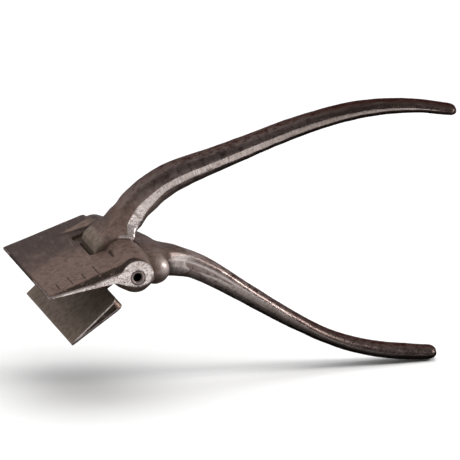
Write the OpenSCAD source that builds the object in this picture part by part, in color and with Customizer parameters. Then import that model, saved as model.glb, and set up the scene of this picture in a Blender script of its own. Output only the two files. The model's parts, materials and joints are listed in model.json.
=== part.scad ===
// Hand seamer: two crossing forged levers that turn about one hollow hinge pin.
// The origin is the centre of the hinge pin. Y runs along the pin, +X towards the handle tips, +Z up.
// The model rests with its jaws open. Squeezing the handles closes them.

/* [Jaws] */
// Width of both jaws, along the hinge pin
jaw_w = 82.55; // [76:0.05:95]
// Distance from the pin's axis to the jaws' front edges
jaw_reach = 42.7; // [38:0.1:50]
// Thickness of each jaw at its front edge
edge_t = 1.25; // [0.8:0.05:2]
// Tilt of the upper jaw's working face below the horizontal, in degrees
upper_tilt = 9.5; // [6:0.5:12]
// Angle between the upper jaw's working face and its graduated top, in degrees
upper_taper = 9.3; // [8:0.1:10.5]
// Angle between the two working faces at rest, in degrees
opening = 33.1; // [26:0.1:40]
// Angle between the lower jaw's working face and its underside, in degrees
lower_taper = 7.9; // [5:0.1:10]
// Distance from the pin's axis to the lower jaw's rear edge
lower_rear = 13.8; // [13:0.1:16]
// Corner radius at the lower jaw's rear edge
lower_corner_r = 3.5; // [1:0.5:6]

/* [Graduation] */
// Distance between two scribed lines, a quarter of an inch
mark_step = 6.35; // [5:0.05:7]
// Number of scribed lines
mark_count = 4; // [1:1:4]
// Length of the short scribed lines
mark_short = 8; // [5:0.5:12]
// Length of the long scribed lines
mark_long = 11.5; // [8:0.5:16]
// Distance from the jaw's front edge to the first scribed line
mark_start = 7; // [5:0.1:8]
// Distance from the jaw's near side to the scribed lines
mark_inset = 3.2; // [1:0.1:6]
// Width and depth of a scribed line
mark_cut = 0.3; // [0.1:0.05:0.5]

/* [Hinge] */
// Outside diameter of the hollow hinge pin
pin_d = 6.35; // [5:0.05:8]
// Bore of the hollow hinge pin
pin_bore_d = 4.2; // [2:0.1:4.5]
// Radial interference of the pin in the upper jaw's ears
pin_press = 0.01; // [0:0.005:0.02]
// Radial clearance of the pin in the knuckle
pin_running = 0.05; // [0.02:0.01:0.1]
// Radius of the ears at their ground end faces
ear_end_r = 7.6; // [6.5:0.1:8]
// Radius of the ears beside the slot
ear_root_r = 10.1; // [9:0.1:11]
// Distance from the middle of the jaw at which the ears start to taper
ear_taper_y = 24; // [18:0.5:30]
// Width of the knuckle between the ears
knuckle_w = 24; // [18:0.5:26]
// Gap between the knuckle and each wall of the slot
slot_gap = 0.5; // [0.2:0.05:1]
// Distance from the pin's axis to the slot's front wall
slot_reach = 14.9; // [14.8:0.1:18]
// Corner radius at the slot's front wall
slot_corner_r = 1.5; // [1:0.1:1.6]
// Radius of the knuckle's front, about the pin
knuckle_front_r = 13.4; // [12:0.1:13.6]
// Radius of the knuckle's back, about the pin
knuckle_back_r = 8; // [6:0.1:8.2]

/* [Yoke] */
// Radius of the bar that joins the ears behind the knuckle
yoke_r = 6.5; // [5:0.1:7]
// Distance of that bar behind the pin's axis
yoke_x = 13.6; // [13:0.1:15]
// Height of that bar above the pin's axis
yoke_z = -3; // [-5:0.1:0]
// Length of that bar over its round ends
yoke_w = 53; // [40:0.5:60]

/* [Handles] */
// Squareness of the handles' section: 2 is an ellipse, and more is squarer
section_power = 2.8; // [2:0.1:4]
// Distance from the middle of a tip's rounding to its end
tip_r = 4; // [3:0.1:5]

/* [Hidden] */

// Each handle is a row of stations: [distance behind the pin, height, thickness, width].
upper_handle_line = [
    [5.2, 18.8, 14.4, 15],
    [17.9, 29.7, 13.4, 14.8],
    [30.1, 35.6, 12.4, 14.4],
    [46.1, 40.7, 10.3, 14],
    [66, 47.2, 8.9, 13.5],
    [90, 54.7, 7.9, 13],
    [115, 59.5, 7.2, 12.5],
    [138, 59.7, 6, 12],
    [157.8, 56.4, 4.9, 11.4]
];
lower_handle_line = [
    [15, -3.9, 11.6, 15.4],
    [27, -5.2, 12.1, 15],
    [41, -10.7, 11.2, 14.6],
    [62, -24.4, 9.1, 14],
    [83, -37.9, 7.4, 13.3],
    [101, -47.9, 6.5, 12.8],
    [120, -54.6, 6.7, 12.3],
    [138, -57.8, 6.7, 12],
    [148.6, -58.6, 5.7, 11.5]
];

fine = 96;
// Facets of the round shapes inside a hull
hull_fine = 32;
// Small overlap that joins two shapes of one forging
bite = 1;
// How far a cutter runs past what it cuts
past = 20;
half_w = jaw_w / 2;
slot_half = knuckle_w / 2 + slot_gap;
pin_r = pin_d / 2;
lower_tilt = upper_tilt + opening;
// Distance from the pin's axis to the plane of the graduated top
top_reach = edge_t * cos(upper_taper) + jaw_reach * sin(upper_taper);

// A point at radius r and angle a about the pin, in the XZ plane.
function polar(r, a) = [r * cos(a), r * sin(a)];

// An arc about the point c, from angle a to angle b.
function arc(c, r, a, b, steps) = [for (i = [0 : steps]) c + polar(r, a + (b - a) * i / steps)];

// A smooth curve through every row of p. The whole part of s picks the row that it starts from.
function curve(p, s) =
    let (
        last = len(p) - 1,
        i = min(floor(s), last - 1),
        u = s - i,
        a = p[max(i - 1, 0)],
        b = p[i],
        c = p[i + 1],
        d = p[min(i + 2, last)]
    )
    (2 * b + (c - a) * u + (2 * a - 5 * b + 4 * c - d) * u * u + (3 * b - a - 3 * c + d) * u * u * u) / 2;

// The direction in which a handle runs at s, as [x, z].
function heading(p, s) =
    let (
        near = 0.05,
        ahead = curve(p, min(s + near, len(p) - 1)),
        behind = curve(p, max(s - near, 0)),
        run = [ahead[0] - behind[0], ahead[1] - behind[1]]
    )
    run / norm(run);

// One closed ring of a handle's skin: a rounded section across its heading.
function ring(station, along, size, sides) = [
    for (i = [0 : sides - 1])
        let (
            a = 360 * i / sides,
            up = sign(sin(a)) * pow(abs(sin(a)), 2 / section_power) * station[2] / 2 * size,
            out = sign(cos(a)) * pow(abs(cos(a)), 2 / section_power) * station[3] / 2 * size
        )
        [station[0] - along[1] * up, out, station[1] + along[0] * up]
];

// Draws its 2D children in the XZ plane, from y = from to y = to.
module across(from, to) {
    translate([0, to, 0])
        rotate([90, 0, 0])
            linear_extrude(height = to - from)
                children();
}

// A round bar or hole along the pin's axis, from y = from to y = to.
module round_across(r, from, to) {
    translate([0, to, 0])
        rotate([90, 0, 0])
            cylinder(r = r, h = to - from, $fn = fine);
}

// One handle: rings along its line, then smaller and smaller rings round its tip.
module handle(line) {
    sides = 20;
    stations = 28;
    tip_angles = [25 : 20 : 85];
    last = len(line) - 1;
    tip = line[last];
    tip_run = heading(line, last);
    body = [
        for (k = [0 : stations])
            let (s = last * k / stations)
            ring(curve(line, s), heading(line, s), 1, sides)
    ];
    nose = [
        for (a = tip_angles)
            let (reach = tip_r * sin(a))
            ring([tip[0] + tip_run[0] * reach, tip[1] + tip_run[1] * reach, tip[2], tip[3]],
                tip_run, cos(a), sides)
    ];
    rings = concat(body, nose);
    points = [for (r = rings) each r];
    skin = [
        for (k = [0 : len(rings) - 2], i = [0 : sides - 1])
            let (
                a = k * sides + i,
                b = k * sides + (i + 1) % sides
            )
            each [[a, b + sides, b], [a, a + sides, b + sides]]
    ];
    root_cap = [for (i = [0 : sides - 1]) i];
    tip_cap = [for (i = [sides - 1 : -1 : 0]) (len(rings) - 1) * sides + i];
    polyhedron(points = points, faces = concat([root_cap], skin, [tip_cap]));
}

// The upper jaw's plate, with a fillet under it where it meets the ears.
module upper_plate() {
    fillet_r = 2;
    // The plate laps the ears a little past the tangent point, and its hidden rear corner lies inside them.
    lap = 0.04;
    rear_corner = polar(ear_end_r - bite, 60);
    along = polar(1, 180 + upper_tilt);
    up = polar(1, 90 + upper_tilt);
    fillet_x = sqrt(pow(ear_end_r + fillet_r, 2) - pow(fillet_r, 2));
    fillet_centre = along * fillet_x - up * fillet_r;
    to_centre = atan2(-fillet_centre[1], -fillet_centre[0]);
    across(-half_w, half_w)
        polygon(concat(
            [along * jaw_reach, along * jaw_reach + up * edge_t],
            [polar(top_reach, 90 + upper_tilt + upper_taper)],
            [rear_corner, [0, 0]],
            arc(fillet_centre, fillet_r + lap, to_centre, 90 + upper_tilt, 5)
        ));
}

// Scribed lines on the graduated top, alternately short and long, along its near side.
module scribed_lines() {
    corner = polar(jaw_reach, 180 + upper_tilt) + polar(edge_t, 90 + upper_tilt);
    translate([corner[0], 0, corner[1]])
        rotate([0, -(upper_tilt + upper_taper), 0])
            for (i = [0 : mark_count - 1]) {
                length = i % 2 == 0 ? mark_short : mark_long;
                translate([mark_start + mark_step * i, length / 2 + mark_inset - half_w, 0])
                    cube([mark_cut, length, 2 * mark_cut], center = true);
            }
}

// Both ears: straight beside the slot, then tapering to their ground end faces.
module ears() {
    for (side = [-1, 1])
        rotate([side * 90, 0, 0])
            rotate_extrude($fn = fine)
                polygon([
                    [0, slot_half],
                    [ear_root_r, slot_half],
                    [ear_root_r, ear_taper_y],
                    [ear_end_r, half_w],
                    [0, half_w]
                ]);
}

// The bar with round ends that joins the ears, and the shoulders that narrow it to the lower handle.
module yoke() {
    bar_half = yoke_w / 2 - yoke_r;
    shoulder_r = yoke_r - 0.7;
    shoulder_w = 2 * bar_half - 8;
    root = lower_handle_line[1];
    root_r = 4.6;
    root_lift = root_r - root[2] / 2 - 0.05;
    root_back = 5;
    root_w = root[3] - 3;
    translate([yoke_x, 0, yoke_z]) {
        round_across(yoke_r, -bar_half, bar_half);
        for (side = [-1, 1])
            translate([0, side * bar_half, 0])
                sphere(r = yoke_r, $fn = fine);
    }
    hull() {
        translate([yoke_x + bite, 0, yoke_z])
            rotate([90, 0, 0])
                cylinder(r = shoulder_r, h = shoulder_w, center = true, $fn = hull_fine);
        translate([root[0] + root_back, 0, root[1] + root_lift])
            rotate([90, 0, 0])
                cylinder(r = root_r, h = root_w, center = true, $fn = hull_fine);
    }
}

// Room for the knuckle: a slot through the plate with round front corners, and a hollow behind the pin.
module knuckle_slot() {
    translate([0, 0, -past])
        linear_extrude(height = 2 * past) {
            translate([slot_corner_r - slot_reach, -slot_half])
                square([slot_reach - slot_corner_r, 2 * slot_half]);
            translate([-slot_reach, slot_corner_r - slot_half])
                square([slot_corner_r + bite, 2 * (slot_half - slot_corner_r)]);
            for (side = [-1, 1])
                translate([slot_corner_r - slot_reach, side * (slot_half - slot_corner_r)])
                    circle(r = slot_corner_r, $fn = fine);
        }
    round_across(knuckle_back_r + slot_gap, -slot_half, slot_half);
}

module upper_jaw_forging() {
    color([0.30, 0.26, 0.25])
        difference() {
            union() {
                upper_plate();
                ears();
                yoke();
                handle(lower_handle_line);
            }
            knuckle_slot();
            scribed_lines();
            round_across(pin_r - pin_press, -half_w - bite, half_w + bite);
        }
}

// A wedge in the lower jaw's own frame, where X is the distance from the pin's axis.
module lower_wedge(from, to, width) {
    rotate([0, 180 - lower_tilt, 0])
        rotate([90, 0, 0])
            linear_extrude(height = width, center = true)
                polygon([
                    [from, 0],
                    [to, 0],
                    [to, edge_t + (jaw_reach - to) * tan(lower_taper)],
                    [from, edge_t + (jaw_reach - from) * tan(lower_taper)]
                ]);
}

// The outline of the lower jaw, seen square to its working face, with round rear corners.
module lower_outline() {
    middle = half_w - lower_corner_r;
    rotate([0, 180 - lower_tilt, 0])
        translate([0, 0, -past])
            linear_extrude(height = 2 * past) {
                translate([lower_rear + lower_corner_r, -half_w])
                    square([jaw_reach - lower_rear - lower_corner_r, jaw_w]);
                translate([lower_rear, -middle])
                    square([lower_corner_r + bite, 2 * middle]);
                for (side = [-1, 1])
                    translate([lower_rear + lower_corner_r, side * middle])
                        circle(r = lower_corner_r, $fn = fine);
            }
}

// The knuckle's side: its round front about the pin, its round back, and its neck up to the handle.
module knuckle_side() {
    polygon(concat(
        arc([0, 0], knuckle_front_r, 180 + lower_tilt, 165, 12),
        [[-12.4, 7.2], [-10.8, 9.5], [-8, 12.3], [-4.2, 15.2]],
        [[0.4, 21.2], [4, 24.2], [9.4, 19], [8.2, 14.5], [7, 9.5]],
        arc([0, 0], knuckle_back_r, 50, -80, 13),
        [[-3, -9.6], [-6.6, -11.4]]
    ));
}

// The knuckle seen from the front: wide between the ears, and narrowing to the handle above them.
module knuckle_front() {
    half = knuckle_w / 2;
    neck_half = upper_handle_line[0][3] / 2 - 0.2;
    // Heights between which the knuckle narrows to its neck
    shoulder_z = 9;
    neck_z = 16;
    rotate([90, 0, 90])
        linear_extrude(height = 3 * past, center = true)
            polygon([
                [-half, -past],
                [half, -past],
                [half, shoulder_z],
                [neck_half, neck_z],
                [neck_half, 2 * past],
                [-neck_half, 2 * past],
                [-neck_half, neck_z],
                [-half, shoulder_z]
            ]);
}

module lower_jaw_forging() {
    color([0.33, 0.28, 0.27])
        difference() {
            union() {
                intersection() {
                    lower_wedge(lower_rear - bite, jaw_reach, jaw_w);
                    lower_outline();
                }
                lower_wedge(knuckle_back_r, lower_rear + lower_corner_r, knuckle_w);
                intersection() {
                    across(-knuckle_w / 2, knuckle_w / 2)
                        knuckle_side();
                    knuckle_front();
                }
                handle(upper_handle_line);
            }
            round_across(pin_r + pin_running, -half_w, half_w);
        }
}

module hinge_pin() {
    color([0.62, 0.58, 0.56])
        difference() {
            round_across(pin_r, -half_w, half_w);
            round_across(pin_bore_d / 2, -half_w - bite, half_w + bite);
        }
}

upper_jaw_forging();
lower_jaw_forging();
hinge_pin();
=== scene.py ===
"""Hand seamer: forged skins, hollow pin, steel and studio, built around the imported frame.

Each forging is described as a field, a function that is negative inside the steel and positive outside
it. The fields are blended the way a die blends a forging, cut the way a grinder cuts it, and meshed by dual
contouring, which keeps ground edges crisp. Lengths are millimetres in the row frame until a mesh is
written, in metres.
"""

import json
import math

import bmesh
import bpy
import numpy as np
from mathutils import Matrix, Vector


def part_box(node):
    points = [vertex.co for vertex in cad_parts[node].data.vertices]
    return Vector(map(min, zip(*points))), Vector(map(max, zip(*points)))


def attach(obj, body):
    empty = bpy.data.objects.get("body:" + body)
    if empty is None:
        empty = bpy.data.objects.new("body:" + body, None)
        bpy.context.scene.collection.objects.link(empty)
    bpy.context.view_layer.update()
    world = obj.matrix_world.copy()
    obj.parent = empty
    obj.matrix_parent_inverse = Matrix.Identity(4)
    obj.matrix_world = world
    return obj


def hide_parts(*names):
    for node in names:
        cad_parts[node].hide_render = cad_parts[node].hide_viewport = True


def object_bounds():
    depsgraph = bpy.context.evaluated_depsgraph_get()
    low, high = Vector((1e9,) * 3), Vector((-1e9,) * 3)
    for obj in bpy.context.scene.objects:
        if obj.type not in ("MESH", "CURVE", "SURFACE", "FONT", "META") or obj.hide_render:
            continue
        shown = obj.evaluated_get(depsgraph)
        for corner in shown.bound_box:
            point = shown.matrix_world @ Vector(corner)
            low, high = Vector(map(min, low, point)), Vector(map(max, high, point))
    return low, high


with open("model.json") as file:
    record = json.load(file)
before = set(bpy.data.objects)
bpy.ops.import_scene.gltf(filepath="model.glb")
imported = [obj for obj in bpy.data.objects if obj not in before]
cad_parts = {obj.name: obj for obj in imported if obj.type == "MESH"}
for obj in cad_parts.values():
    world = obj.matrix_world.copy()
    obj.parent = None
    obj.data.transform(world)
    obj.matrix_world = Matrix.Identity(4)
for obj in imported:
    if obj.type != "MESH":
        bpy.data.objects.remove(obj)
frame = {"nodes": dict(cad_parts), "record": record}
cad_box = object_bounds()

MM = 0.001

# The frame, as plain numbers in millimetres.
pin_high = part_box("hinge_pin")[1]
HALF_W = pin_high.y / MM
PIN_R = pin_high.z / MM
BORE_R = next(m for m in frame["record"]["mounts"] if m["name"] == "pin_bore")["dims"]["r_mm"]

# The jaws. Tilts are of the working faces, below the horizontal, in degrees.
JAW_REACH = 42.7
EDGE_T = 1.25
UPPER_TILT = 9.5
UPPER_TAPER = 9.3
LOWER_TILT = 42.6
LOWER_TAPER = 7.9
PLATE_BACK_X = -3.0
LOWER_REAR = 13.8
LOWER_CORNER_R = 3.5

# The tongue joins the lower jaw to the knuckle, between these distances from the pin. The lower jaw's outline
# runs over its front edge by OVERRUN, and is cut back to it.
TONGUE_FROM = 7.0
TONGUE_TO = 22.0
TONGUE_FILLET = 1.5
TONGUE_SPARE = 0.4
OVERRUN = 8.0

# How round the edges are: the upper jaw's rear, the sides, the front edges, the working faces' edges, the
# lower jaw's underside, the edges that are ground, and those of the facet and the pocket.
REAR_ROUND = 3.0
SIDE_ROUND = 0.5
FRONT_ROUND = 0.3
FACE_ROUND = 0.15
UNDER_ROUND = 1.1
GROUND_ROUND = 0.05
CUT_ROUND = 0.8

# The worn bevel along the near side: its size at the front edge, its growth per millimetre, and its most.
BEVEL_HIGH = (0.7, 0.1, 2.9)
BEVEL_WIDE = (0.6, 0.12, 3.8)
BEVEL_ROUND = 1.5

# On the far side, a facet that climbs from the plate to the ear, and a shallow pocket beside the knuckle.
FACET_X = -10.7
FACET_HALF_X = 9.7
FACET_INNER_Y = 20.0
FACET_OUTER_Y = 29.0
FACET_SLANT = 8.0
FACET_SLANT_FROM = 8.0
FACET_SLANT_RUN = 12.0
FACET_NORMAL = (-0.443, 0.897)
FACET_OFF = 10.38
FACET_TOP_Z = 9.8
FACET_FILLET = 1.0
POCKET_AT = (-12.2, 15.5)
POCKET_HALF = (3.6, 4.2)
POCKET_CORNER_R = 1.6
POCKET_DEPTH = 1.9

# The graduation on the upper jaw, and the crease in its near ear, which is shallower by CREASE_RISE. The mesh
# is divided finely within GROOVE_REACH of a line.
MARK_STEP = 6.35
MARK_COUNT = 4
MARK_SHORT = 8.0
MARK_LONG = 11.5
MARK_INSET = 3.2
MARK_START = 7.0
MARK_CUT = 0.32
CREASE_AT = 36.5
CREASE_Y = -21.6
CREASE_HALF = 4.3
CREASE_RISE = 0.2
GROOVE_REACH = 0.55

# The hinge: pin, ears, knuckle and slot. The pin is clean for PIN_CLEAN in from each end. The knuckle's round
# back stands out by KNUCKLE_SKIN, and the yoke is hollowed to clear it by KNUCKLE_ROOM.
PIN_CLEAN = 2.4
NEAR_EAR_R = 7.6
FAR_EAR_R = 6.6
EAR_LIFT = 0.4
EAR_ROOT_R = 10.1
EAR_TAPER_Y = 24.0
EAR_TAPER_BLEND = 6.0
KNUCKLE_HALF = 12.0
SLOT_HALF = 12.5
SLOT_REACH = 14.9
SLOT_CORNER_R = 1.5
KNUCKLE_FRONT_R = 13.4
KNUCKLE_BACK_R = 8.0
KNUCKLE_SKIN = 0.2
KNUCKLE_ROOM = 0.5
KNUCKLE_ROUND = 1.0
KNUCKLE_CLEARANCE = 0.06
EAR_CLEARANCE = 0.02
BORE_CHAMFER = 0.35

# The yoke behind the knuckle, the web and shoulders from it to the lower handle, and the upper handle's neck.
YOKE_R = 6.5
YOKE_X = 13.6
YOKE_Z = -3.0
YOKE_HALF = 26.5
YOKE_ROOM = 2.0
ROOM_ROUND = 0.6
WEB_HALF = 5.3
WEB_OVERLAP = 2.0
WEB_FILLET = 5.0
SHOULDER_FILLET = 7.0
SHOULDER_X = 31.0
SHOULDER_SPREAD = 11.5
NECK_FROM = 10.8
NECK_TO = 16.2

# The handles. Root points carry a handle's line past its first slice, down into the hinge. A line is smoothed
# over so many millimetres either way.
TIP_R = 4.0
TIP_SPARE = 0.3
END_SPARE = 0.2
TIP_STEPS = 24
LINE_SMOOTHING = 5
SIZE_SMOOTHING = 6
DRAFT = 13.0
FLANK_ROUND = 2.2
CROWN = 1.3
UPPER_HANDLE_FILLET = 3.0
LOWER_HANDLE_FILLET = 4.0
UPPER_ROOT = [[2.6, 11.0], [4.8, 15.6], [8.6, 21.6]]
LOWER_ROOT = [[12.0, -3.2], [16.0, -3.3]]

# How much of the skin's waviness each part takes.
PLATE_RIPPLE = 0.35
FORGED_RIPPLE = 0.8
KNUCKLE_RIPPLE = 0.6

# The meshing grid: its cell, the cells along a block, and the space sampled for each forging. Blocks are
# sampled if their middle is within NEAR_BLOCKS of the surface, normals are probed over PROBE, and a direction
# in which a cell's normals vary by less than FLAT_SHARE is flat.
CELL = 0.5
BLOCK = 8
BLOCKS_AT_ONCE = 600
NEAR_BLOCKS = 1.25
PROBE = 0.02
FLAT_SHARE = 0.06
UPPER_SPACE = ([-45, -44, -66], [156, 44, 16])
LOWER_SPACE = ([-36, -44, -38], [166, 44, 68])

# Edges that turn by more degrees than this are drawn sharp.
SHARP_FORGED = 34
SHARP_TURNED = 40


# Fields.

def smooth_min(a, b, k):
    h = np.maximum(k - np.abs(a - b), 0.0) / k
    return np.minimum(a, b) - h * h * k / 4


def smooth_max(a, b, k):
    return -smooth_min(-a, -b, k)


def ramp(value, start, end):
    """Rises smoothly from 0 at start to 1 at end."""
    t = np.clip((value - start) / (end - start), 0.0, 1.0)
    return t * t * (3 - 2 * t)


# The forged skin's slight waviness: a sum of waves in seeded directions, long and deep to short and shallow.
rng = np.random.default_rng(7)
WAVELENGTHS = (15, 11, 8, 6, 4.4, 3.2, 2.3)
DEPTHS = (0.03, 0.026, 0.022, 0.016, 0.01, 0.007, 0.005)
WAVES = []
for wavelength, depth in zip(WAVELENGTHS, DEPTHS):
    for _ in range(2):
        axis = rng.normal(size=3)
        axis *= 2 * math.pi / wavelength / np.linalg.norm(axis)
        WAVES.append((axis, depth, rng.uniform(0, 2 * math.pi)))


def ripple(x, y, z):
    total = 0.0
    for axis, depth, phase in WAVES:
        total = total + depth * np.sin(axis[0] * x + axis[1] * y + axis[2] * z + phase)
    return total


def direction(degrees):
    return math.cos(math.radians(degrees)), math.sin(math.radians(degrees))


def polar(r, degrees):
    c, s = direction(degrees)
    return [r * c, r * s]


def arc(r, start, end, steps):
    return [polar(r, start + (end - start) * i / steps) for i in range(steps + 1)]


def polygon_field(outline, x, z):
    """Distance to a closed outline in the XZ plane, negative inside it."""
    near = np.full(x.shape, 1e9)
    inside = np.zeros(x.shape, bool)
    for (ax, az), (bx, bz) in zip(outline, outline[1:] + outline[:1]):
        ex, ez = bx - ax, bz - az
        t = np.clip(((x - ax) * ex + (z - az) * ez) / (ex * ex + ez * ez), 0, 1)
        near = np.minimum(near, (x - ax - t * ex) ** 2 + (z - az - t * ez) ** 2)
        if az != bz:
            crosses = (az > z) != (bz > z)
            inside ^= crosses & (x < ex * (z - az) / ez + ax)
    return np.where(inside, -1, 1) * np.sqrt(near)


def box_field(a, b, half_a, half_b, r):
    """A rectangle with round corners, centred on a = b = 0."""
    da, db = np.abs(a) - half_a + r, np.abs(b) - half_b + r
    outside = np.hypot(np.maximum(da, 0), np.maximum(db, 0))
    return outside + np.minimum(np.maximum(da, db), 0) - r


# Handles follow the CAD solids: each is sliced along X, and the slices give its line, thickness and width.

def read_points(mesh):
    points = np.empty(len(mesh.vertices) * 3)
    mesh.vertices.foreach_get("co", points)
    return points.reshape(-1, 3) / MM


def mesh_arrays(node):
    mesh = frame["nodes"][node].data
    ends = np.empty(len(mesh.edges) * 2, int)
    mesh.edges.foreach_get("vertices", ends)
    return read_points(mesh), ends.reshape(-1, 2)


def slice_at(points, ends, x):
    """The bottom, the top and half the width of the solid where the plane at x cuts it."""
    a, b = points[ends[:, 0]], points[ends[:, 1]]
    hit = (a[:, 0] - x) * (b[:, 0] - x) < 0
    a, b = a[hit], b[hit]
    t = ((x - a[:, 0]) / (b[:, 0] - a[:, 0]))[:, None]
    cut = a + t * (b - a)
    return cut[:, 2].min(), cut[:, 2].max(), cut[:, 1].max()


def smoothed(values, reach):
    """values with short bends taken out, over reach samples either way. Its ends keep their slope."""
    head = values[0] - (values[1] - values[0]) * np.arange(reach, 0, -1)
    tail = values[-1] + (values[-1] - values[-2]) * np.arange(1, reach + 1)
    weights = np.hanning(2 * reach + 3)[1:-1]
    return np.convolve(np.concatenate([head, values, tail]), weights / weights.sum(), "valid")


class Rail:
    """A handle's line, with its half thickness and half width, and the ground band along each of its sides.

    The band's half height, its height above the line and the rounding of its edges are lists of values, at
    the shares of the line's length that share lists. The first slice is at first_x, and slices before width_x
    take the width found there.
    """

    def __init__(self, node, root, first_x, width_x, share, half_height, lift, rounding):
        points, ends = mesh_arrays(node)
        last_x = points[:, 0].max() - TIP_R - TIP_SPARE
        xs = np.linspace(first_x, last_x, int(last_x - first_x) + 1)
        low, high, half = np.array([slice_at(points, ends, x) for x in xs]).T
        half = np.where(xs < width_x, half[np.searchsorted(xs, width_x)], half)
        mid = (low + high) / 2
        thick = (high - low) / 2 / np.hypot(1, np.gradient(smoothed(mid, SIZE_SMOOTHING), xs))
        line = np.concatenate([root, np.stack([xs, mid], 1)])
        run = np.concatenate([[0], np.cumsum(np.hypot(*np.diff(line, axis=0).T))])
        body_s = np.linspace(0, run[-1], int(run[-1]) + 1)
        x, z = [smoothed(np.interp(body_s, run, line[:, i]), LINE_SMOOTHING) for i in (0, 1)]
        thick = smoothed(np.interp(x, xs, thick), SIZE_SMOOTHING)
        half = smoothed(np.interp(x, xs, half), SIZE_SMOOTHING)
        # The tip is half round, and its last step is left just open.
        round_off = np.linspace(0.05, 1, TIP_STEPS) * math.pi / 2
        on = TIP_R * np.sin(round_off)
        size = np.maximum(np.cos(round_off), 0.02)
        tip = np.array([x[-1] - x[-2], z[-1] - z[-2]])
        tip /= np.hypot(*tip)
        self.s = np.concatenate([body_s, body_s[-1] + on])
        self.x = np.concatenate([x, x[-1] + on * tip[0]])
        self.z = np.concatenate([z, z[-1] + on * tip[1]])
        heading = np.array([np.gradient(self.x, self.s), np.gradient(self.z, self.s)])
        self.heading = heading / np.hypot(*heading)
        self.thick = np.concatenate([thick, thick[-1] * size])
        self.half = np.concatenate([half, half[-1] * size])
        along = self.s / self.s[-1]
        self.band = np.interp(along, share, half_height) * np.minimum(self.half / half[-1], 1)
        self.lift = np.interp(along, share, lift)
        self.rounding = np.interp(along, share, rounding)

    def at(self, s, values):
        return np.interp(s, self.s, values)

    def offset(self, s, x, z):
        """How far points are ahead of the line's point at s, and how far above it, square to the line."""
        hx, hz = self.at(s, self.heading[0]), self.at(s, self.heading[1])
        dx, dz = x - self.at(s, self.x), z - self.at(s, self.z)
        return dx * hx + dz * hz, dz * hx - dx * hz

    def locate(self, x, z):
        """How far along the line each point lies, its height above it, and how far it is past an end."""
        s = np.interp(x, self.x, self.s)
        for _ in range(4):
            s = np.clip(s + self.offset(s, x, z)[0], self.s[0], self.s[-1])
        past, up = self.offset(s, x, z)
        return s, up, past

    def field(self, x, y, z):
        s, up, past = self.locate(x, z)
        half = self.at(s, self.half)
        c, d = direction(DRAFT)
        side = np.abs(y) - half
        flank = side * c + (np.abs(up - self.at(s, self.lift)) - self.at(s, self.band)) * d
        crown = np.abs(up) - self.at(s, self.thick) + CROWN * (y / half) ** 2
        skin = smooth_max(flank, crown, FLANK_ROUND) + ripple(x, y, z)
        skin = smooth_max(skin, side, self.at(s, self.rounding))
        return np.maximum(skin, np.abs(past) - END_SPARE)

    def on_band(self, x, y, z):
        """1 on the ground band of either side, 0 off it."""
        s, up, _ = self.locate(x, z)
        inside = self.at(s, self.band) - np.abs(up - self.at(s, self.lift))
        return ramp(np.abs(y) - self.at(s, self.half), -0.3, -0.06) * ramp(inside, -0.25, 0.15)

    def ridge_highlight(self, x, y, z):
        """A painted highlight: 1 on the line where the crown meets the ground band on the near side."""
        s, up, _ = self.locate(x, z)
        off = up - self.at(s, self.lift) - self.at(s, self.band) - 0.2
        return np.exp(-(off / 0.45) ** 2) * ramp(-y - self.at(s, self.half), -2.2, -1.0)


upper_rail = Rail(
    "lower_jaw_forging", UPPER_ROOT, 14.5, 14.5,
    share=[0, 0.03, 0.09, 0.16, 0.5, 0.75, 1],
    half_height=[2.4, 3.3, 2.2, 1.4, 1.15, 0.8, 0.5],
    lift=[-2.6, -2.2, -1.0, -0.3, 0, 0, 0],
    rounding=[0.3, 0.2, 0.2, 0.2, 0.2, 0.5, 0.8],
)
lower_rail = Rail(
    "upper_jaw_forging", LOWER_ROOT, 21.5, 38.0,
    share=[0, 0.2, 0.45, 0.6, 0.8, 1],
    half_height=[3.1, 2.9, 2.1, 1.2, 0.5, 0.3],
    lift=[-1.1, -1.1, -0.8, -0.6, -0.5, 0],
    rounding=[3.0, 1.6, 0.5, 0.35, 0.5, 0.8],
)


def jaw_place(tilt, x, z):
    """How far points are behind a jaw's front edge, along its working face, and how far below that face."""
    c, d = direction(tilt)
    return JAW_REACH + x * c + z * d, x * d - z * c


def top_place(x, z):
    """How far points are behind the graduated top's front edge, along that top, and how far above it."""
    c, d = direction(UPPER_TILT + UPPER_TAPER)
    edge_c, edge_d = direction(UPPER_TAPER)
    along = x * c + z * d + JAW_REACH * edge_c - EDGE_T * edge_d
    return along, z * c - x * d - EDGE_T * edge_c - JAW_REACH * edge_d


def near_bevel(x, y, z):
    """The worn bevel along the near side of the graduated top. It widens towards the hinge."""
    behind = np.clip(jaw_place(UPPER_TILT, x, z)[0], 0, JAW_REACH)
    sizes = (BEVEL_HIGH, BEVEL_WIDE)
    high, wide = [np.minimum(start + growth * behind, most) for start, growth, most in sizes]
    above = top_place(x, z)[1]
    return (above * wide - (y + HALF_W) * high + high * wide) / np.hypot(wide, high)


def upper_plate_field(x, y, z):
    """The graduated jaw: a wedge with a bevel along its near side."""
    behind, below = jaw_place(UPPER_TILT, x, z)
    wedge = smooth_max(top_place(x, z)[1] + PLATE_RIPPLE * ripple(x, y, z), x - PLATE_BACK_X, REAR_ROUND)
    wedge = smooth_max(wedge, near_bevel(x, y, z), BEVEL_ROUND)
    wedge = smooth_max(wedge, np.abs(y) - HALF_W, SIDE_ROUND)
    wedge = smooth_max(wedge, -behind, FRONT_ROUND)
    return smooth_max(wedge, below, FACE_ROUND)


def facet_plan(x, y):
    """The facet's outline from above: a wedge with its point towards the front edge."""
    slant = FACET_SLANT * np.clip((-x - FACET_SLANT_FROM) / FACET_SLANT_RUN, 0, 1)
    across = np.maximum(y - FACET_OUTER_Y, FACET_INNER_Y + slant - y)
    return np.maximum(across, np.abs(x - FACET_X) - FACET_HALF_X)


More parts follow.
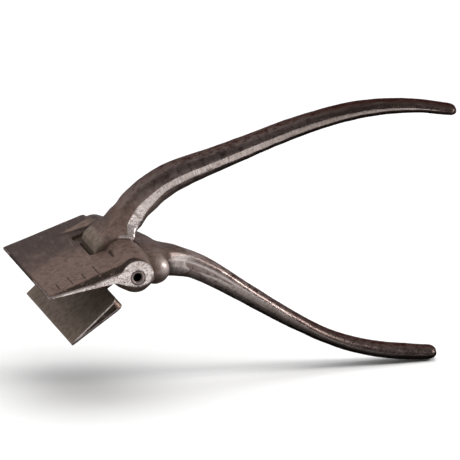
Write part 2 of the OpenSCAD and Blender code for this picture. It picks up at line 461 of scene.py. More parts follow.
def above_facet(x, z):
    """Height above the facet, which is steeper than the plate's top."""
    return FACET_NORMAL[0] * x + FACET_NORMAL[1] * z - FACET_OFF


def facet_field(x, y, z):
    """The wedge under the facet."""
    rise = smooth_max(above_facet(x, z), z - FACET_TOP_Z, FACET_FILLET)
    rise = np.maximum(rise, -z)
    return smooth_max(rise, facet_plan(x, y), CUT_ROUND)


def pocket_field(x, y, z):
    """What is cut away for the pocket."""
    plan = box_field(x - POCKET_AT[0], y - POCKET_AT[1], *POCKET_HALF, POCKET_CORNER_R)
    return np.maximum(plan, -top_place(x, z)[1] - POCKET_DEPTH)


def ear_field(x, y, z):
    """Both ears: round about the pin, narrowing to their ground ends, which are worn round underneath."""
    out = np.abs(y)
    along = smooth_max(out - EAR_TAPER_Y, 0 * out, EAR_TAPER_BLEND) / (HALF_W - EAR_TAPER_Y)
    near = y < 0
    r = np.hypot(x, z - EAR_LIFT * along * near)
    end_r = np.where(near, NEAR_EAR_R, FAR_EAR_R)
    skin = r - EAR_ROOT_R + (EAR_ROOT_R - end_r) * along + FORGED_RIPPLE * ripple(x, y, z)
    end_round = 0.4 + 4.6 * ramp(-z, 0.5, 6)
    return smooth_max(skin, out - HALF_W, end_round)


def yoke_field(x, y, z):
    """The bar behind the knuckle, its round ends, and the shoulders that narrow it to the lower handle."""
    beyond = np.maximum(np.abs(y) - (YOKE_HALF - YOKE_R), 0)
    bar = np.sqrt((x - YOKE_X) ** 2 + (z - YOKE_Z) ** 2 + beyond ** 2) - YOKE_R
    up = lower_rail.locate(x, z)[1]
    wide = lower_rail.half[0] - 0.8 + SHOULDER_SPREAD * (1 - ramp(x, YOKE_X, SHOULDER_X)) ** 1.5
    web = smooth_max(np.abs(up) - WEB_HALF, np.abs(y) - wide, WEB_FILLET)
    web = smooth_max(np.maximum(web, YOKE_X - WEB_OVERLAP - x), x - SHOULDER_X, SHOULDER_FILLET)
    return smooth_min(bar, web, WEB_FILLET) + FORGED_RIPPLE * ripple(x, y, z)


def slot_field(x, y):
    """Room for the knuckle through the plate and between the ears: negative inside the slot."""
    return box_field(x, y, SLOT_REACH, SLOT_HALF, SLOT_CORNER_R)


def groove_field(x, y, z):
    """V grooves: the scribed lines along the near side of the plate's top, and a crease in the near ear."""
    along, above = top_place(x, z)
    groove = np.full(x.shape, 1e3)
    for i in range(MARK_COUNT):
        length = MARK_LONG if i % 2 else MARK_SHORT
        off = np.abs(along - MARK_START - MARK_STEP * i) - MARK_CUT - above
        end = np.abs(y + HALF_W - MARK_INSET - length / 2) - length / 2
        groove = np.minimum(groove, np.maximum(off * math.sqrt(0.5), end))
    crease = np.abs(along - CREASE_AT) - MARK_CUT - above + CREASE_RISE
    return np.minimum(groove, np.maximum(crease * math.sqrt(0.5), np.abs(y - CREASE_Y) - CREASE_HALF))


def upper_forging_field(x, y, z):
    r = np.hypot(x, z)
    ear_fillet = 0.7 + 3.3 * ramp(-z, -1, 2)
    yoke_fillet = 1.2 + 2.0 * ramp(-z, -2, 4)
    plate = smooth_min(upper_plate_field(x, y, z), facet_field(x, y, z), FACET_FILLET)
    plate = smooth_max(plate, -pocket_field(x, y, z), CUT_ROUND)
    body = smooth_min(plate, ear_field(x, y, z), ear_fillet)
    body = smooth_max(body, np.abs(y) - HALF_W, GROUND_ROUND)
    body = smooth_max(body, -slot_field(x, y), SIDE_ROUND)
    rear = smooth_min(yoke_field(x, y, z), lower_rail.field(x, y, z), LOWER_HANDLE_FILLET)
    body = smooth_min(body, rear, yoke_fillet)
    knuckle_room = np.maximum(r - KNUCKLE_BACK_R - KNUCKLE_ROOM, np.abs(y) - SLOT_HALF)
    body = smooth_max(body, -knuckle_room, 0.4)
    bore = r - PIN_R - EAR_CLEARANCE
    mouth = bore - np.maximum(np.abs(y) - HALF_W + BORE_CHAMFER, 0)
    return smooth_max(body, -mouth, GROUND_ROUND)


def lower_plate_field(x, y, z):
    """The lower jaw: a wedge with round rear corners, and the tongue that joins it to the knuckle."""
    behind, below = jaw_place(LOWER_TILT, x, z)
    out = JAW_REACH - behind
    c, d = direction(LOWER_TAPER)
    under = (below - EDGE_T) * c - behind * d
    front = JAW_REACH + OVERRUN
    plan = box_field(out - (LOWER_REAR + front) / 2, y, (front - LOWER_REAR) / 2, HALF_W, LOWER_CORNER_R)
    tongue = np.maximum(np.abs(y) - KNUCKLE_HALF, np.maximum(out - TONGUE_TO, TONGUE_FROM - out))
    plan = smooth_min(plan, tongue, TONGUE_FILLET)
    wedge = smooth_max(under, plan, UNDER_ROUND)
    wedge = smooth_max(wedge, -below, FACE_ROUND)
    return smooth_max(wedge, -behind, FRONT_ROUND)


KNUCKLE_OUTLINE = (
    arc(KNUCKLE_FRONT_R, 180 + LOWER_TILT, 165, 14)
    + [[-13.1, 4.9], [-12.4, 7.2], [-10.8, 9.5], [-8.0, 12.3], [-4.2, 15.2], [-0.4, 19.0]]
    + [[5.0, 21.5], [8.8, 16.9], [7.4, 13.2], [6.4, 10.2]]
    + arc(KNUCKLE_BACK_R + KNUCKLE_SKIN, 50, -80, 13)
    + [[-3.0, -9.6], [-6.6, -11.4]]
)


def knuckle_field(x, y, z):
    """The knuckle and its nose, as wide as the slot beside the pin and flaring up into the handle's root."""
    outline = polygon_field(KNUCKLE_OUTLINE, x, z)
    reach = np.hypot(0.8 * x, z)
    neck = upper_rail.half[0] - 0.1
    wide = neck + (KNUCKLE_HALF - neck) * (1 - ramp(reach, NECK_FROM, NECK_TO))
    return smooth_max(outline + KNUCKLE_RIPPLE * ripple(x, y, z), np.abs(y) - wide, KNUCKLE_ROUND)


def yoke_relief(x, z):
    """Room for the yoke when the jaws are shut: behind the neck, outside the knuckle's round back."""
    reach, angle = math.hypot(YOKE_X, YOKE_Z), math.degrees(math.atan2(YOKE_Z, YOKE_X))
    at_x, at_z = polar(reach, angle + LOWER_TILT - UPPER_TILT)
    room = np.hypot(x - at_x, z - at_z) - YOKE_R - YOKE_ROOM
    return np.maximum(room, KNUCKLE_BACK_R + KNUCKLE_SKIN - np.hypot(x, z))


def lower_forging_field(x, y, z):
    r = np.hypot(x, z)
    body = smooth_min(lower_plate_field(x, y, z), knuckle_field(x, y, z), TONGUE_FILLET)
    body = smooth_min(body, upper_rail.field(x, y, z), UPPER_HANDLE_FILLET)
    body = smooth_max(body, -yoke_relief(x, z), ROOM_ROUND)
    body = np.maximum(body, np.minimum(np.abs(y) - KNUCKLE_HALF, LOWER_REAR - TONGUE_SPARE - r))
    return smooth_max(body, -(r - PIN_R - KNUCKLE_CLEARANCE), GROUND_ROUND)


# Dual contouring.

def sample_field(field, lo, cells):
    """The field at every grid corner that a block near the surface holds, and its sign elsewhere."""
    blocks = cells // BLOCK
    base = np.stack(np.meshgrid(*[np.arange(n) for n in blocks], indexing="ij"), -1).reshape(-1, 3)
    centres = lo + (base + 0.5) * BLOCK * CELL
    at_centre = field(*centres.T)
    near = np.abs(at_centre) < BLOCK * CELL * NEAR_BLOCKS
    sign = np.sign(at_centre).reshape(blocks)
    for axis in range(3):
        sign = np.repeat(sign, BLOCK, axis)
    values = np.pad(sign, ((0, 1), (0, 1), (0, 1)), mode="edge").astype(np.float32)
    steps = np.arange(BLOCK + 1)
    local = np.stack(np.meshgrid(steps, steps, steps, indexing="ij"), -1).reshape(-1, 3)
    for chosen in np.array_split(base[near], max(1, near.sum() // BLOCKS_AT_ONCE)):
        index = (chosen[:, None, :] * BLOCK + local[None]).reshape(-1, 3)
        values[tuple(index.T)] = field(*(lo + index * CELL).T)
    return values


def gradient(field, points):
    """The field's unit gradient, which is the surface's normal."""
    out = np.empty_like(points)
    for axis in range(3):
        shift = np.zeros(3)
        shift[axis] = PROBE
        out[:, axis] = field(*(points + shift).T) - field(*(points - shift).T)
    return out / np.maximum(np.linalg.norm(out, axis=1), 1e-9)[:, None]


def crossings(field, values, lo):
    """Where grid edges pierce the surface: points, normals, and the four cells round each edge."""
    found = []
    strides = np.array([values.shape[1] * values.shape[2], values.shape[2], 1])
    for axis in range(3):
        first = np.take(values, range(values.shape[axis] - 1), axis)
        second = np.take(values, range(1, values.shape[axis]), axis)
        index = np.argwhere((first < 0) != (second < 0))
        a, b = first[tuple(index.T)], second[tuple(index.T)]
        points = lo + index * CELL
        points[:, axis] += CELL * a / (a - b)
        for _ in range(2):
            step = np.zeros(3)
            step[axis] = PROBE
            here = field(*points.T)
            slope = (field(*(points + step).T) - field(*(points - step).T)) / (2 * PROBE)
            move = np.where(np.abs(slope) > 0.2, -here / np.where(slope == 0, 1, slope), 0)
            points[:, axis] += np.clip(move, -0.2 * CELL, 0.2 * CELL)
        u, v = strides[(axis + 1) % 3], strides[(axis + 2) % 3]
        corner = index @ strides
        cells = np.stack([corner - u - v, corner - v, corner, corner - u], 1)
        cells[b < 0] = cells[b < 0][:, ::-1]
        found.append((points, gradient(field, points), cells))
    return [np.concatenate(part) for part in zip(*found)]


def dual_contour(field, lo, hi):
    """Vertices and quads of the field's zero surface, with crisp edges kept."""
    lo = np.array(lo, float)
    cells = (np.ceil((np.array(hi) - lo) / CELL / BLOCK) * BLOCK).astype(int)
    values = sample_field(field, lo, cells)
    points, normals, quads = crossings(field, values, lo)
    ids, quads = np.unique(quads, return_inverse=True)
    quads = quads.reshape(-1, 4)
    count = np.bincount(quads.ravel(), minlength=len(ids))

    def gather(weights):
        return np.bincount(quads.ravel(), np.repeat(weights, 4), len(ids))

    mean = np.stack([gather(points[:, i]) for i in range(3)], 1) / count[:, None]
    matrix = np.empty((len(ids), 3, 3))
    for i in range(3):
        for j in range(3):
            matrix[:, i, j] = gather(normals[:, i] * normals[:, j])
    offset = np.einsum("ij,ij->i", normals, points)
    target = np.stack([gather(normals[:, i] * offset) for i in range(3)], 1)
    target -= np.einsum("nij,nj->ni", matrix, mean)
    sizes, axes = np.linalg.eigh(matrix)
    keep = np.where(sizes > FLAT_SHARE * sizes[:, -1:], 1 / np.maximum(sizes, 1e-9), 0)
    move = np.einsum("nij,nj,nkj,nk->ni", axes, keep, axes, target)
    corner = np.stack(np.unravel_index(ids, values.shape), 1)
    low = lo + corner * CELL
    return np.clip(mean + move, low, low + CELL), quads


def make_piece(name, points, faces, material, body, *nodes):
    mesh = bpy.data.meshes.new(name)
    mesh.from_pydata([tuple(p) for p in points * MM], [], [tuple(f) for f in faces])
    mesh.validate()
    mesh.materials.append(material)
    mesh.shade_smooth()
    piece = bpy.data.objects.new(name, mesh)
    bpy.context.scene.collection.objects.link(piece)
    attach(piece, body)
    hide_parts(*nodes)
    return piece


# Finish. Masks are painted on the vertices, and the materials mix their layers by them. Inside corners are
# looked for within HOLLOW_REACH of the surface, and bends over BEND_REACH.
HOLLOW_REACH = 2.6
BEND_REACH = 0.6


def paint(piece, points, field, masks):
    """Writes the masks, and two more from the field: hollow in inside corners, edge on outside ones."""
    normals = gradient(field, points)
    outside = field(*(points + HOLLOW_REACH * normals).T)
    masks["hollow"] = 1 - np.clip(outside / HOLLOW_REACH, 0, 1)
    bend = -6 * field(*points.T)
    for axis in range(3):
        for shift in (-BEND_REACH, BEND_REACH):
            moved = points.copy()
            moved[:, axis] += shift
            bend += field(*moved.T)
    masks["edge"] = ramp(bend / BEND_REACH ** 2, 0.3, 1.3) * masks.pop("wear")
    for name, values in masks.items():
        kind, slot = ("FLOAT_VECTOR", "vector") if values.ndim > 1 else ("FLOAT", "value")
        attribute = piece.data.attributes.new(name, kind, "POINT")
        attribute.data.foreach_set(slot, np.ascontiguousarray(values, np.float32).ravel())


class Steel:
    """A node material for steel, with short ways to add and join its nodes."""

    def __init__(self, name):
        self.material = bpy.data.materials.new(name)
        self.material.use_nodes = True
        self.nodes = self.material.node_tree.nodes
        self.links = self.material.node_tree.links
        self.shader = self.nodes["Principled BSDF"]
        place = self.node("ShaderNodeTexCoord").outputs["Object"]
        self.place = self.stretch(place, 1000)

    def set(self, socket, value):
        if isinstance(value, bpy.types.NodeSocket):
            self.links.new(value, socket)
        elif isinstance(value, tuple) and len(value) == 3 and socket.type == "RGBA":
            socket.default_value = (*value, 1)
        else:
            socket.default_value = value

    def node(self, kind, *values, **settings):
        node = self.nodes.new(kind)
        for name, value in settings.items():
            setattr(node, name, value)
        for socket, value in zip(node.inputs, values):
            self.set(socket, value)
        return node

    def stretch(self, vector, scale):
        scale = scale if isinstance(scale, tuple) else (scale, scale, scale)
        return self.node("ShaderNodeVectorMath", vector, scale, operation="MULTIPLY").outputs[0]

    def mask(self, name):
        return self.node("ShaderNodeAttribute", attribute_name=name).outputs["Fac"]

    def math(self, operation, a, b=0.0):
        return self.node("ShaderNodeMath", a, b, operation=operation).outputs[0]

    def times(self, a, b):
        return self.math("MULTIPLY", a, b)

    def plus(self, a, b):
        return self.math("ADD", a, b)

    def length(self, vector):
        return self.node("ShaderNodeVectorMath", vector, operation="LENGTH").outputs["Value"]

    def noise(self, vector, size, detail=3.0, rough=0.55):
        """Noise whose largest features are about size millimetres across."""
        node = self.node("ShaderNodeTexNoise")
        values = {"Vector": vector, "Scale": 1 / size, "Detail": detail, "Roughness": rough}
        for name, value in values.items():
            self.set(node.inputs[name], value)
        return node.outputs["Fac"]

    def between(self, value, start, end):
        """As ramp(), for nodes."""
        node = self.node("ShaderNodeMapRange", value, start, end, interpolation_type="SMOOTHSTEP")
        return node.outputs[0]

    def mix(self, factor, a, b):
        """Colour a where the factor is 0, and b where it is 1."""
        node = self.node("ShaderNodeMix", data_type="RGBA")
        for name, value in (("Factor_Float", factor), ("A_Color", a), ("B_Color", b)):
            socket = next(i for i in node.inputs if i.identifier == name)
            self.set(socket, value)
        return next(o for o in node.outputs if o.identifier == "Result_Color")

    def blend(self, factor, a, b):
        """As mix(), for plain values."""
        node = self.node("ShaderNodeMix", factor, data_type="FLOAT")
        for name, value in (("A_Float", a), ("B_Float", b)):
            self.set(next(i for i in node.inputs if i.identifier == name), value)
        return next(o for o in node.outputs if o.identifier == "Result_Float")

    def finish(self, color, metal, roughness, height, depth):
        """Sets the shader's sockets. Height is a bump in which 1 stands depth millimetres proud of 0."""
        self.set(self.shader.inputs["Base Color"], color)
        self.set(self.shader.inputs["Metallic"], metal)
        self.set(self.shader.inputs["Roughness"], roughness)
        self.set(self.shader.inputs["Specular IOR Level"], SPECULAR)
        self.set(self.shader.inputs["Specular Tint"], EDGE_TINT)
        bump = self.node("ShaderNodeBump")
        bump.inputs["Distance"].default_value = depth * MM
        self.set(bump.inputs["Height"], height)
        self.set(self.shader.inputs["Normal"], bump.outputs["Normal"])
        return self.material


# Linear colours, and the strength and tint of the specular gloss that the skin has where it is not bare
# metal.
BROWN = (0.225, 0.153, 0.128)
MAUVE = (0.075, 0.055, 0.051)
GRIP = (0.042, 0.027, 0.027)
OLIVE = (0.150, 0.112, 0.080)
# The rust and pit colours also paint shade: along the upper jaw's front and far edges, and, for the pit
# colour, down the pin's bore.
RUST_AND_SHADE = (0.070, 0.050, 0.040)
PIT_AND_SHADE = (0.022, 0.016, 0.013)
FACE = (0.275, 0.220, 0.182)
WORN = (0.36, 0.29, 0.27)
TAN = (0.27, 0.190, 0.150)
BRIGHT = (0.88, 0.78, 0.75)
DULL = (0.31, 0.25, 0.225)
HATCH = (0.130, 0.096, 0.080)
EDGE_TINT = (0.35, 0.30, 0.30)
SPECULAR = 0.25


def forged_steel():
    """Dark brown forged skin, olive in its corners and worn at its edges, with bands ground bright, painted
    highlights, and painted shade along some edges.
    """
    steel = Steel("forged_steel")
    place = steel.place
    lines = steel.node("ShaderNodeAttribute", attribute_name="flow").outputs["Vector"]
    ground, dull, pits_and_edge_shade = steel.mask("ground"), steel.mask("dull"), steel.mask("pits_and_edge_shade")
    hollow, edge, streak = steel.mask("hollow"), steel.mask("edge"), steel.mask("streak")

    broad = steel.noise(place, 16, 2)
    cloud = steel.noise(place, 2.6, 4, 0.6)
    grain = steel.noise(place, 0.5, 3, 0.7)
    drawn = steel.noise(steel.stretch(lines, (0.12, 0.9, 0.9)), 1.0, 4, 0.65)
    grind = steel.noise(steel.stretch(lines, (1.0, 0.09, 0.09)), 0.5, 4, 0.75)

    across = steel.node("ShaderNodeSeparateXYZ", place).outputs["Y"]
    far = steel.plus(steel.between(across, -30, 40), steel.math("SUBTRACT", broad, 0.5))
    skin = steel.mix(steel.between(far, 0.1, 0.9), BROWN, MAUVE)
    grip = steel.mask("grip")
    skin = steel.mix(steel.times(grip, 0.85), skin, GRIP)
    skin = steel.mix(steel.times(steel.between(cloud, 0.42, 0.72), 0.65), skin, RUST_AND_SHADE)
    speck = steel.times(steel.between(grain, 0.50, 0.66), 0.7)
    skin = steel.mix(speck, skin, RUST_AND_SHADE)
    skin = steel.mix(steel.times(steel.between(drawn, 0.5, 0.75), 0.25), skin, WORN)
    skin = steel.mix(steel.mask("face"), skin, steel.mix(steel.between(cloud, 0.3, 0.8), FACE, OLIVE))
    skin = steel.mix(steel.times(steel.between(hollow, 0.15, 0.75), 0.85), skin, OLIVE)
    skin = steel.mix(steel.times(steel.mask("facet"), steel.between(cloud, 0.1, 0.7)), skin, TAN)
    # Pits, and the painted shade along the upper jaw's front and far edges.
    pits_and_shade = steel.times(pits_and_edge_shade, steel.between(cloud, 0.30, 0.50))
    skin = steel.mix(pits_and_shade, skin, RUST_AND_SHADE)
    skin = steel.mix(steel.times(pits_and_edge_shade, steel.between(grain, 0.44, 0.56)), skin, PIT_AND_SHADE)
    rubbed = steel.times(edge, steel.between(cloud, 0.3, 0.6))
    skin = steel.mix(rubbed, skin, WORN)
    # Painted highlights: the listed spots, and a line along the top of the lower handle's band.
    painted_highlight = steel.math("MAXIMUM", steel.mask("painted_highlight"), steel.times(steel.mask("ridge_highlight"), 0.8))
    skin = steel.mix(steel.times(painted_highlight, steel.between(grain, 0.25, 0.5)), skin, BRIGHT)

    marks = steel.blend(streak, steel.between(grain, 0.30, 0.58), steel.between(grind, 0.25, 0.80))
    bare = steel.mix(marks, DULL, BRIGHT)
    spots = steel.times(steel.between(cloud, 0.55, 0.66), 0.75)
    bare = steel.mix(spots, bare, BROWN)
    pocks = steel.times(steel.between(steel.noise(place, 0.9, 3, 0.6), 0.57, 0.68), 0.7)
    bare = steel.mix(steel.times(pocks, steel.math("SUBTRACT", 1.0, streak)), bare, RUST_AND_SHADE)
    scuffs = steel.times(steel.between(broad, 0.45, 0.62), steel.between(drawn, 0.42, 0.58))
    bare = steel.mix(steel.times(scuffs, 0.5), bare, BROWN)
    hatch = steel.noise(steel.stretch(lines, (0.9, 0.2, 0.2)), 0.35, 3, 0.7)
    hatch = steel.mix(steel.between(hatch, 0.40, 0.62), HATCH, DULL)
    bare = steel.mix(dull, bare, steel.mix(steel.times(marks, 0.5), hatch, DULL))
    ragged = steel.between(steel.plus(ground, steel.times(cloud, 0.5)), 0.55, 0.8)
    color = steel.mix(ragged, skin, bare)
    color = steel.mix(steel.mask("scribe"), color, RUST_AND_SHADE)

    skin_rough = steel.plus(steel.times(cloud, 0.2), 0.30)
    skin_rough = steel.plus(skin_rough, steel.times(pits_and_edge_shade, 0.15))
    polished = steel.times(steel.math("MAXIMUM", painted_highlight, grip), 0.12)
    skin_rough = steel.math("SUBTRACT", skin_rough, polished)
    bare_rough = steel.plus(steel.times(marks, -0.10), 0.36)
    roughness = steel.blend(ragged, skin_rough, bare_rough)

    pit_height = steel.times(steel.between(grain, 0.5, 0.75), -0.8)
    skin_height = steel.plus(pit_height, steel.times(cloud, 1.0))
    skin_height = steel.plus(skin_height, steel.times(pits_and_shade, -1.5))
    height = steel.blend(ragged, skin_height, steel.times(marks, 0.35))
    metal = steel.blend(steel.math("MAXIMUM", ragged, grip), 0.6, 1.0)
    return steel.finish(color, metal, roughness, height, 0.05)


def pin_steel():
    """Drawn tube: dull brown outside, cleaner at its two ends, and painted shade down its bore."""
    steel = Steel("pin_steel")
    cloud = steel.noise(steel.place, 1.2, 4, 0.6)
    drawn = steel.noise(steel.stretch(steel.place, (1.0, 0.06, 1.0)), 0.5, 4, 0.7)
    color = steel.mix(steel.between(cloud, 0.35, 0.7), DULL, HATCH)
    color = steel.mix(steel.times(steel.between(drawn, 0.4, 0.7), 0.4), color, WORN)
    off_axis = steel.length(steel.stretch(steel.place, (1.0, 0.0, 1.0)))
    off_middle = steel.length(steel.stretch(steel.place, (0.0, 1.0, 0.0)))
    in_bore = steel.math("LESS_THAN", off_axis, BORE_R + 0.25)
    deep = steel.math("LESS_THAN", off_middle, HALF_W - PIN_CLEAN)
    color = steel.mix(steel.math("SUBTRACT", 1.0, deep), color, WORN)
    # Painted shade: the bore is dark except near its two ends.
    color = steel.mix(steel.times(in_bore, deep), color, PIT_AND_SHADE)
    roughness = steel.plus(steel.times(drawn, 0.2), 0.24)
    metal = steel.blend(in_bore, 1.0, 0.3)
    return steel.finish(color, metal, roughness, steel.plus(drawn, cloud), 0.02)


def flow(rail, on_rail, x, y, z):
    """Coordinates for grind marks: along, up and across on a handle, and along the pin first elsewhere."""
    along, up, _ = rail.locate(x, z)
    return np.stack([np.where(on_rail, a, b) for a, b in ((along, y), (up, z), (y, x))], 1)


def near_to(x, y, z, middle, reach):
    """1 at the middle, falling away over the given reach along each axis."""
    return np.exp(-sum(((p - m) / r) ** 2 for p, m, r in zip((x, y, z), middle, reach)))


# Where the masks begin and end. ON_FACE is how near a ground side face a point lies to count as on it.
ON_FACE = (-0.35, -0.06)
ON_WORKING_FACE = (-0.15, -0.02)
HANDLE_FROM = 19
HANDLE_BY = 23
BEYOND_KNUCKLE = (14, 16)

# Painted highlights: the middle of each, its reach along each axis, and its strength. They are where the
# lower handle leaves the yoke, and the yoke's near end.
PAINTED_HIGHLIGHTS = (
    ((28, -7.5, -3.3), (5.5, 2.2, 2), 1.4),
    ((17, -24, -1), (3, 4, 4), 0.7),
)


def upper_masks(x, y, z):
    out = np.abs(y)
    behind, below = jaw_place(UPPER_TILT, x, z)
    on_handle = ramp(x, HANDLE_FROM, HANDLE_BY)
    band = lower_rail.on_band(x, y, z) * on_handle
    side = ramp(out - HALF_W, *ON_FACE) * ramp(np.hypot(x, z), PIN_R + 0.2, PIN_R + 0.6)
    side = side * (1 - 0.9 * ramp(x - 0.5 * z, 3.5, 8.5))
    bevel = ramp(near_bevel(x, y, z), -0.45, -0.1) * ramp(-y, 0, 1)
    # Painted shade along the front edge, and along the far side in front of the hinge. It goes in with the
    # pits.
    rim_shade = 0.8 * np.maximum(ramp(-behind, -1.3, -0.2), ramp(y - HALF_W, -1.0, -0.1) * ramp(-x, 4, 8))
    facet = ramp(0.25 - np.abs(above_facet(x, z)), 0, 0.2)
    facet = facet * ramp(-facet_plan(x, y), -0.1, 1.6) * ramp(-2 - x, 0, 6)
    in_slot = ramp(SLOT_HALF + 1.5 - out, 0, 1) * ramp(12 - x, 0, 2)
    in_slot = in_slot + ramp(y, 12, 13) * ramp(30 - y, 0, 2)
    return {
        "ground": np.maximum(side, band),
        "dull": np.maximum(band * (0.25 + 0.6 * ramp(x, 30, 70)), facet),
        "grip": ramp(x, 14, 60),
        # A painted highlight along the top of the band.
        "ridge_highlight": lower_rail.ridge_highlight(x, y, z) * ramp(x, 18, 24) * ramp(-x, -95, -50),
        # Painted highlights at the listed spots.
        "painted_highlight": sum(strength * near_to(x, y, z, middle, reach) for middle, reach, strength in PAINTED_HIGHLIGHTS),
        "facet": facet,
        "streak": band,
        # Pits on the near bevel, and the painted shade along the edges.
        "pits_and_edge_shade": np.maximum(bevel * (1 - side) * ramp(z, -9, -3) * (1 - on_handle), rim_shade),
        "face": ramp(below, *ON_WORKING_FACE) * ramp(-7 - x, 0, 2),
        "wear": (1 - np.clip(in_slot, 0, 1)) * (1 - 0.8 * ramp(x, 50, 95)),
        "flow": flow(lower_rail, x > HANDLE_FROM, x, y, z),
    }


def lower_masks(x, y, z):
    out = np.abs(y)
    behind, below = jaw_place(LOWER_TILT, x, z)
    band = upper_rail.on_band(x, y, z) * ramp(z, 9, 11)
    side = ramp(out - HALF_W, *ON_FACE)
    cheek = ramp(out - KNUCKLE_HALF, -0.5, -0.15) * ramp(np.hypot(x, z), 9.6, 10.2) * ramp(x, -4, 1)
    cheek = cheek * ramp(KNUCKLE_HALF + 0.6 - out, 0, 0.3)
    thick = EDGE_T + behind * math.tan(math.radians(LOWER_TAPER))
    rubbed = np.maximum(ramp(-below, -0.9, -0.3), ramp(below - thick, -1.5, -0.7))
    beside = ramp(out, *BEYOND_KNUCKLE)
    return {
        "ground": np.maximum(np.maximum(side * rubbed, band), cheek),
        "dull": np.maximum(side * 0.15, band * ramp(x, 20, 110) * 0.9),
        "grip": ramp(z, 14, 44),
        "ridge_highlight": 0 * x,
        "painted_highlight": 0 * x,
        "facet": 0 * x,
        "streak": band * ramp(z, 18, 30),
        "pits_and_edge_shade": side * (1 - rubbed) * beside,
        "face": ramp(-below, *ON_WORKING_FACE) * ramp(-8 - x, 0, 2),
        "wear": (0.4 + 0.6 * beside) * (1 - 0.9 * ramp(x, 60, 120)),
        "flow": flow(upper_rail, z > 8, x, y, z),
    }


def scribe(piece):
    """Cuts the grooves: faces close to a line are divided finely, then drawn onto the grooved surface."""
    def close(points):
        return groove_field(*points.T) < GROOVE_REACH

    mesh = piece.data
    cells = bmesh.new()
    cells.from_mesh(mesh)
    near = close(read_points(mesh))
    edges = [e for e in cells.edges if near[e.verts[0].index] and near[e.verts[1].index]]
    bmesh.ops.subdivide_edges(cells, edges=edges, cuts=3, use_grid_fill=True)
    cells.to_mesh(mesh)
    cells.free()
    points = read_points(mesh)
    near = close(points)

    def grooved(x, y, z):
        return np.maximum(upper_forging_field(x, y, z), -groove_field(x, y, z))

    for _ in range(4):
        moving = points[near]
        points[near] = moving - grooved(*moving.T)[:, None] * gradient(grooved, moving)
    mesh.vertices.foreach_set("co", (points * MM).ravel())
    mesh.update()


def forging(name, node, body, field, masks, space, material):
    points, faces = dual_contour(field, *space)
    piece = make_piece(name, points, faces, material, body, node)
    if body == "upper_jaw":
        scribe(piece)
        points = read_points(piece.data)
        cut = groove_field(*points.T)
    else:
        cut = np.ones(len(points))
    piece.data.set_sharp_from_angle(angle=math.radians(SHARP_FORGED))
    layers = masks(*points.T)
    layers["scribe"] = ramp(-cut, -0.06, 0.02)
    paint(piece, points, field, layers)


def pin_tube(material):
    """The hinge pin: a tube with rounded lips, turned about Y."""
    lip, mouth, steps = 0.3, 0.65, 5
    quarter = [direction(90 * i / steps) for i in range(steps + 1)]
    outer = [(PIN_R - lip * (1 - d), HALF_W - lip * (1 - c)) for c, d in quarter]
    inner = [(BORE_R + mouth * (1 - d), HALF_W - mouth * (1 - c)) for c, d in quarter]
    end = inner[::-1] + outer
    rings = (30.0, 14.0, -14.0, -30.0)
    stations = end + [(PIN_R, y) for y in rings]
    stations += [(r, -y) for r, y in end[::-1]] + [(BORE_R, y) for y in rings[::-1]]
    sides = 64
    points, faces = [], []
    for i, (r, y) in enumerate(stations):
        for j in range(sides):
            c, d = direction(360 * j / sides)
            points.append((r * c, y, r * d))
            a, b = i * sides, (i + 1) % len(stations) * sides
            k = (j + 1) % sides
            faces.append((a + j, a + k, b + k, b + j))
    piece = make_piece("hollow_pin", np.array(points), faces, material, "upper_jaw", "hinge_pin")
    piece.data.set_sharp_from_angle(angle=math.radians(SHARP_TURNED))


steel = forged_steel()
forging(
    "upper_jaw_and_lower_handle", "upper_jaw_forging", "upper_jaw",
    upper_forging_field, upper_masks, UPPER_SPACE, steel,
)
forging(
    "lower_jaw_and_upper_handle", "lower_jaw_forging", "lower_jaw",
    lower_forging_field, lower_masks, LOWER_SPACE, steel,
)
pin_tube(pin_steel())


# Studio. Its lengths are metres, and its angles degrees.
FLOOR_HALF = 6.0
FLOOR_GAP = 0.0005
CAMERA_AZIMUTH = -15
CAMERA_ELEVATION = 16.6
CAMERA_DISTANCE = 8.0
CAMERA_LENS = 1371.4
CAMERA_SENSOR = 36
AIM_RIGHT = -0.0054
AIM_UP = 0.0051


def lamp(name, place, aim, size, power, tint=(1, 1, 1)):
    light = bpy.data.lights.new(name, "AREA")
    light.shape = "RECTANGLE"
    light.size, light.size_y = size
    light.energy = power
    light.color = tint
    stand = bpy.data.objects.new(name, light)
    stand.location = place
    stand.rotation_euler = (Vector(aim) - Vector(place)).to_track_quat("-Z", "Y").to_euler()
    bpy.context.scene.collection.objects.link(stand)
    return stand


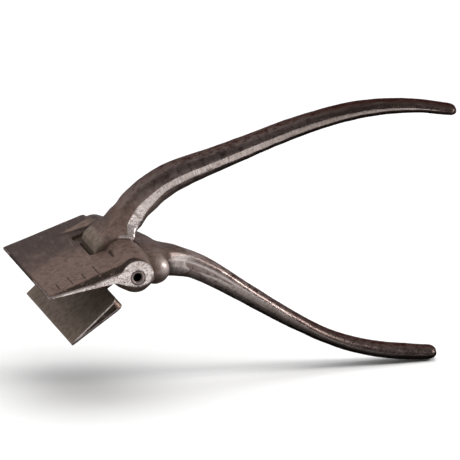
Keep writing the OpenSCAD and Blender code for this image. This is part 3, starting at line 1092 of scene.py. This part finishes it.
def floor_material():
    """Pale to the eye. To every ray but the camera's the floor glows as painted light, with a painted shadow
    under the tool, brighter further out and in front.
    """
    material = bpy.data.materials.new("floor")
    material.use_nodes = True
    nodes, links = material.node_tree.nodes, material.node_tree.links
    shader = nodes["Principled BSDF"]
    shader.inputs["Base Color"].default_value = (0.92, 0.92, 0.92, 1)
    shader.inputs["Roughness"].default_value = 0.9
    place = nodes.new("ShaderNodeNewGeometry").outputs["Position"]
    off = nodes.new("ShaderNodeVectorMath")
    off.operation = "SUBTRACT"
    links.new(place, off.inputs[0])
    off.inputs[1].default_value = ((cad_box[0][0] + cad_box[1][0]) / 2, 0, cad_box[0][2])
    reach = nodes.new("ShaderNodeVectorMath")
    reach.operation = "LENGTH"
    links.new(off.outputs[0], reach.inputs[0])
    front = nodes.new("ShaderNodeSeparateXYZ")
    links.new(off.outputs[0], front.inputs[0])

    def span(value, start, end, low, high):
        node = nodes.new("ShaderNodeMapRange")
        node.interpolation_type = "SMOOTHSTEP"
        links.new(value, node.inputs[0])
        for socket, number in zip(node.inputs[1:5], (start, end, low, high)):
            socket.default_value = number
        return node.outputs[0]

    # Painted light: how brightly the floor glows, dim under the tool and brighter in front.
    glow = nodes.new("ShaderNodeMath")
    glow.operation = "MULTIPLY"
    links.new(span(reach.outputs["Value"], 0.10, 0.26, 0.07, 1.0), glow.inputs[0])
    links.new(span(front.outputs["Y"], -0.15, 0.15, 1.15, 0.4), glow.inputs[1])
    emission = nodes.new("ShaderNodeEmission")
    links.new(glow.outputs[0], emission.inputs["Strength"])
    mix = nodes.new("ShaderNodeMixShader")
    links.new(nodes.new("ShaderNodeLightPath").outputs["Is Camera Ray"], mix.inputs[0])
    links.new(emission.outputs[0], mix.inputs[1])
    links.new(shader.outputs[0], mix.inputs[2])
    links.new(mix.outputs[0], nodes["Material Output"].inputs["Surface"])
    return material


def room():
    """A dim room with a brighter wall behind."""
    world = bpy.data.worlds.new("studio")
    world.use_nodes = True
    nodes, links = world.node_tree.nodes, world.node_tree.links
    split = nodes.new("ShaderNodeSeparateXYZ")
    links.new(nodes.new("ShaderNodeTexCoord").outputs["Generated"], split.inputs[0])
    wall = nodes.new("ShaderNodeMapRange")
    wall.interpolation_type = "SMOOTHSTEP"
    links.new(split.outputs["Y"], wall.inputs[0])
    for socket, number in zip(wall.inputs[1:5], (-0.3, 0.9, 0.30, 0.80)):
        socket.default_value = number
    links.new(wall.outputs[0], nodes["Background"].inputs["Strength"])
    nodes["Background"].inputs["Color"].default_value = (1, 1, 1, 1)
    bpy.context.scene.world = world


def studio():
    """A pale floor lit from overhead, and a softbox on the right that draws the highlights."""
    r, z = FLOOR_HALF, cad_box[0][2] - FLOOR_GAP
    mesh = bpy.data.meshes.new("floor")
    mesh.from_pydata([(-r, -r, z), (r, -r, z), (r, r, z), (-r, r, z)], [], [(0, 1, 2, 3)])
    mesh.materials.append(floor_material())
    floor = bpy.data.objects.new("floor", mesh)
    bpy.context.scene.collection.objects.link(floor)
    room()
    bpy.context.scene.view_settings.view_transform = "Standard"
    overhead = lamp("overhead", place=(0.15, -0.15, 1.7), aim=(0.05, 0, 0), size=(2.2, 2.2), power=30)
    overhead.visible_glossy = False
    warm = (1, 0.97, 0.95)
    lamp("softbox", place=(1.0, -0.25, 0.5), aim=(0.04, 0, 0), size=(0.34, 0.28), power=5.5, tint=warm)


def camera():
    """Far off with a long lens, so that the view is nearly flat. It looks down on the jaws' near side."""
    azimuth, elevation = math.radians(CAMERA_AZIMUTH), math.radians(CAMERA_ELEVATION)
    low, high = np.array(cad_box[0]), np.array(cad_box[1])
    level = math.cos(elevation)
    towards = np.array([math.sin(azimuth) * level, -math.cos(azimuth) * level, math.sin(elevation)])
    right = np.array([math.cos(azimuth), math.sin(azimuth), 0])
    up = np.cross(towards, right)
    aim = (low + high) / 2 + right * AIM_RIGHT + up * AIM_UP
    cam = bpy.data.objects.new("camera", bpy.data.cameras.new("camera"))
    cam.data.lens = CAMERA_LENS
    cam.data.sensor_width = CAMERA_SENSOR
    place = Matrix((right, up, towards)).transposed().to_4x4()
    place.translation = Vector(aim + towards * CAMERA_DISTANCE)
    cam.matrix_world = place
    bpy.context.scene.collection.objects.link(cam)
    bpy.context.scene.camera = cam


studio()
camera()
